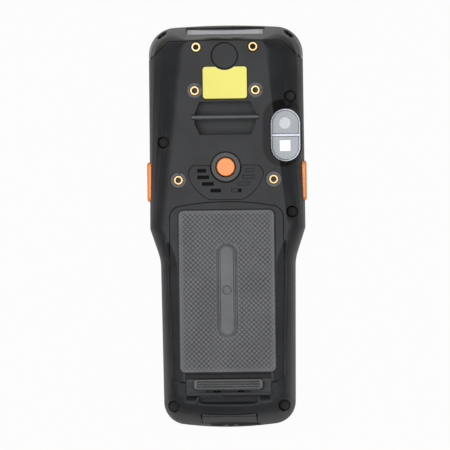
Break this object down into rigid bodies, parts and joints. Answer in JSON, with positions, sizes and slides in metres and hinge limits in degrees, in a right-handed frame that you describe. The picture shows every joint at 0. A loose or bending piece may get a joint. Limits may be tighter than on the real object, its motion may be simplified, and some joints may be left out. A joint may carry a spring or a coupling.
{
  "type": "portable barcode data terminal",
  "caption": "Rugged handheld barcode data terminal with a rear camera, a hinged battery cover, a sliding latch, a dock flap and pressing keys.",
  "frame": {"origin": "centre of the footprint on the rest plane, which the raised rim of the screen side touches", "axes": "+Y towards the scan nose, +Z out of the back, +X to the right when looking at the back"},
  "size_m": [0.0666, 0.1681, 0.029],
  "materials": {
    "case_plastic": "moulded, fine texture",
    "cap_plastic": "smooth gloss",
    "scan_glass": "polished",
    "engine_metal": "satin",
    "screen_glass": "polished",
    "display": "moulded, fine texture",
    "board": "moulded, fine texture",
    "keypad_rubber": "matt",
    "driver_metal": "machined",
    "orange_plastic": "moulded, fine texture",
    "bezel_metal": "satin",
    "camera_glass": "smooth gloss",
    "led_lens": "smooth gloss",
    "label_yellow": "moulded, fine texture",
    "bar_metal": "black coated",
    "brass": "turned",
    "screw_steel": "machined",
    "cover_plastic": "moulded, fine texture",
    "pad_plastic": "moulded, fine texture",
    "battery_film": "moulded, fine texture",
    "contact_metal": "plated",
    "spring_steel": "machined",
    "flap_rubber": "matt",
    "switch_plastic": "moulded, fine texture",
    "gasket_rubber": "matt",
    "key_plastic": "moulded, fine texture"
  },
  "bodies": {
    "housing": {"rear_case": "case_plastic", "front_case": "case_plastic", "nose_cap": "cap_plastic", "scan_window": "scan_glass", "scan_engine": "engine_metal", "touch_glass": "screen_glass", "display_module": "display", "main_board": "board", "keypad_mat": "keypad_rubber", "speaker_panel": "case_plastic", "speaker_driver": "driver_metal", "button_ring": "case_plastic", "camera_bezel": "bezel_metal", "camera_window": "camera_glass", "flash_window": "camera_glass", "camera_module": "engine_metal", "flash_led": "led_lens", "label_plate": "label_yellow", "round_plug": "case_plastic", "strap_bar": "bar_metal", "threaded_inserts": "brass", "case_screws": "screw_steel", "nose_screws": "screw_steel", "battery_pack": "battery_film", "battery_contacts": "contact_metal", "latch_springs": "spring_steel", "dock_connector": "contact_metal", "key_switches": "switch_plastic", "case_gasket": "gasket_rubber", "status_light": "led_lens"},
    "battery_cover": {"battery_cover": "cover_plastic", "grip_pad": "pad_plastic"},
    "latch": {"latch_slider": "case_plastic"},
    "port_cover": {"port_cover": "flap_rubber"},
    "side_key_left": {"side_key_left": "orange_plastic"},
    "side_key_right": {"side_key_right": "orange_plastic"},
    "rear_button": {"rear_button": "orange_plastic"},
    "key_esc": {"key_esc": "key_plastic"},
    "key_up": {"key_up": "key_plastic"},
    "key_enter": {"key_enter": "key_plastic"},
    "key_left": {"key_left": "key_plastic"},
    "key_scan": {"key_scan": "orange_plastic"},
    "key_right": {"key_right": "key_plastic"},
    "key_power": {"key_power": "key_plastic"},
    "key_down": {"key_down": "key_plastic"},
    "key_fn": {"key_fn": "key_plastic"},
    "key_1": {"key_1": "key_plastic"},
    "key_2": {"key_2": "key_plastic"},
    "key_3": {"key_3": "key_plastic"},
    "key_4": {"key_4": "key_plastic"},
    "key_5": {"key_5": "key_plastic"},
    "key_6": {"key_6": "key_plastic"},
    "key_7": {"key_7": "key_plastic"},
    "key_8": {"key_8": "key_plastic"},
    "key_9": {"key_9": "key_plastic"},
    "key_star": {"key_star": "key_plastic"},
    "key_0": {"key_0": "key_plastic"},
    "key_hash": {"key_hash": "key_plastic"}
  },
  "joints": [
    {"name": "battery_cover_hinge", "type": "hinge", "parent": "housing", "child": "battery_cover", "pos_m": [0, 0.0104, 0.027], "axis": [-1, 0, 0], "range_deg": [0, 45]},
    {"name": "latch_slide", "type": "slide", "parent": "housing", "child": "latch", "axis": [0, -1, 0], "range_m": [0, 0.0022], "stiffness_N_per_m": 400, "springref_m": -0.001, "deforming": ["latch_springs"]},
    {"name": "port_cover_hinge", "type": "hinge", "parent": "housing", "child": "port_cover", "pos_m": [0, -0.08224, 0.01455], "axis": [1, 0, 0], "range_deg": [0, 100]},
    {"name": "side_key_left_press", "type": "slide", "parent": "housing", "child": "side_key_left", "axis": [1, 0, 0], "range_m": [0, 0.0008], "stiffness_N_per_m": 400, "springref_m": -0.0008},
    {"name": "side_key_right_press", "type": "slide", "parent": "housing", "child": "side_key_right", "axis": [-1, 0, 0], "range_m": [0, 0.0008], "stiffness_N_per_m": 400, "springref_m": -0.0008},
    {"name": "rear_button_press", "type": "slide", "parent": "housing", "child": "rear_button", "axis": [0, 0, -1], "range_m": [0, 0.0008], "stiffness_N_per_m": 400, "springref_m": -0.0008},
    {"name": "key_esc_press", "type": "slide", "parent": "housing", "child": "key_esc", "axis": [0, 0, 1], "range_m": [0, 0.0006], "stiffness_N_per_m": 400, "springref_m": -0.0006},
    {"name": "key_up_press", "type": "slide", "parent": "housing", "child": "key_up", "axis": [0, 0, 1], "range_m": [0, 0.0006], "stiffness_N_per_m": 400, "springref_m": -0.0006},
    {"name": "key_enter_press", "type": "slide", "parent": "housing", "child": "key_enter", "axis": [0, 0, 1], "range_m": [0, 0.0006], "stiffness_N_per_m": 400, "springref_m": -0.0006},
    {"name": "key_left_press", "type": "slide", "parent": "housing", "child": "key_left", "axis": [0, 0, 1], "range_m": [0, 0.0006], "stiffness_N_per_m": 400, "springref_m": -0.0006},
    {"name": "key_scan_press", "type": "slide", "parent": "housing", "child": "key_scan", "axis": [0, 0, 1], "range_m": [0, 0.0006], "stiffness_N_per_m": 400, "springref_m": -0.0006},
    {"name": "key_right_press", "type": "slide", "parent": "housing", "child": "key_right", "axis": [0, 0, 1], "range_m": [0, 0.0006], "stiffness_N_per_m": 400, "springref_m": -0.0006},
    {"name": "key_power_press", "type": "slide", "parent": "housing", "child": "key_power", "axis": [0, 0, 1], "range_m": [0, 0.0006], "stiffness_N_per_m": 400, "springref_m": -0.0006},
    {"name": "key_down_press", "type": "slide", "parent": "housing", "child": "key_down", "axis": [0, 0, 1], "range_m": [0, 0.0006], "stiffness_N_per_m": 400, "springref_m": -0.0006},
    {"name": "key_fn_press", "type": "slide", "parent": "housing", "child": "key_fn", "axis": [0, 0, 1], "range_m": [0, 0.0006], "stiffness_N_per_m": 400, "springref_m": -0.0006},
    {"name": "key_1_press", "type": "slide", "parent": "housing", "child": "key_1", "axis": [0, 0, 1], "range_m": [0, 0.0006], "stiffness_N_per_m": 400, "springref_m": -0.0006},
    {"name": "key_2_press", "type": "slide", "parent": "housing", "child": "key_2", "axis": [0, 0, 1], "range_m": [0, 0.0006], "stiffness_N_per_m": 400, "springref_m": -0.0006},
    {"name": "key_3_press", "type": "slide", "parent": "housing", "child": "key_3", "axis": [0, 0, 1], "range_m": [0, 0.0006], "stiffness_N_per_m": 400, "springref_m": -0.0006},
    {"name": "key_4_press", "type": "slide", "parent": "housing", "child": "key_4", "axis": [0, 0, 1], "range_m": [0, 0.0006], "stiffness_N_per_m": 400, "springref_m": -0.0006},
    {"name": "key_5_press", "type": "slide", "parent": "housing", "child": "key_5", "axis": [0, 0, 1], "range_m": [0, 0.0006], "stiffness_N_per_m": 400, "springref_m": -0.0006},
    {"name": "key_6_press", "type": "slide", "parent": "housing", "child": "key_6", "axis": [0, 0, 1], "range_m": [0, 0.0006], "stiffness_N_per_m": 400, "springref_m": -0.0006},
    {"name": "key_7_press", "type": "slide", "parent": "housing", "child": "key_7", "axis": [0, 0, 1], "range_m": [0, 0.0006], "stiffness_N_per_m": 400, "springref_m": -0.0006},
    {"name": "key_8_press", "type": "slide", "parent": "housing", "child": "key_8", "axis": [0, 0, 1], "range_m": [0, 0.0006], "stiffness_N_per_m": 400, "springref_m": -0.0006},
    {"name": "key_9_press", "type": "slide", "parent": "housing", "child": "key_9", "axis": [0, 0, 1], "range_m": [0, 0.0006], "stiffness_N_per_m": 400, "springref_m": -0.0006},
    {"name": "key_star_press", "type": "slide", "parent": "housing", "child": "key_star", "axis": [0, 0, 1], "range_m": [0, 0.0006], "stiffness_N_per_m": 400, "springref_m": -0.0006},
    {"name": "key_0_press", "type": "slide", "parent": "housing", "child": "key_0", "axis": [0, 0, 1], "range_m": [0, 0.0006], "stiffness_N_per_m": 400, "springref_m": -0.0006},
    {"name": "key_hash_press", "type": "slide", "parent": "housing", "child": "key_hash", "axis": [0, 0, 1], "range_m": [0, 0.0006], "stiffness_N_per_m": 400, "springref_m": -0.0006}
  ]
}
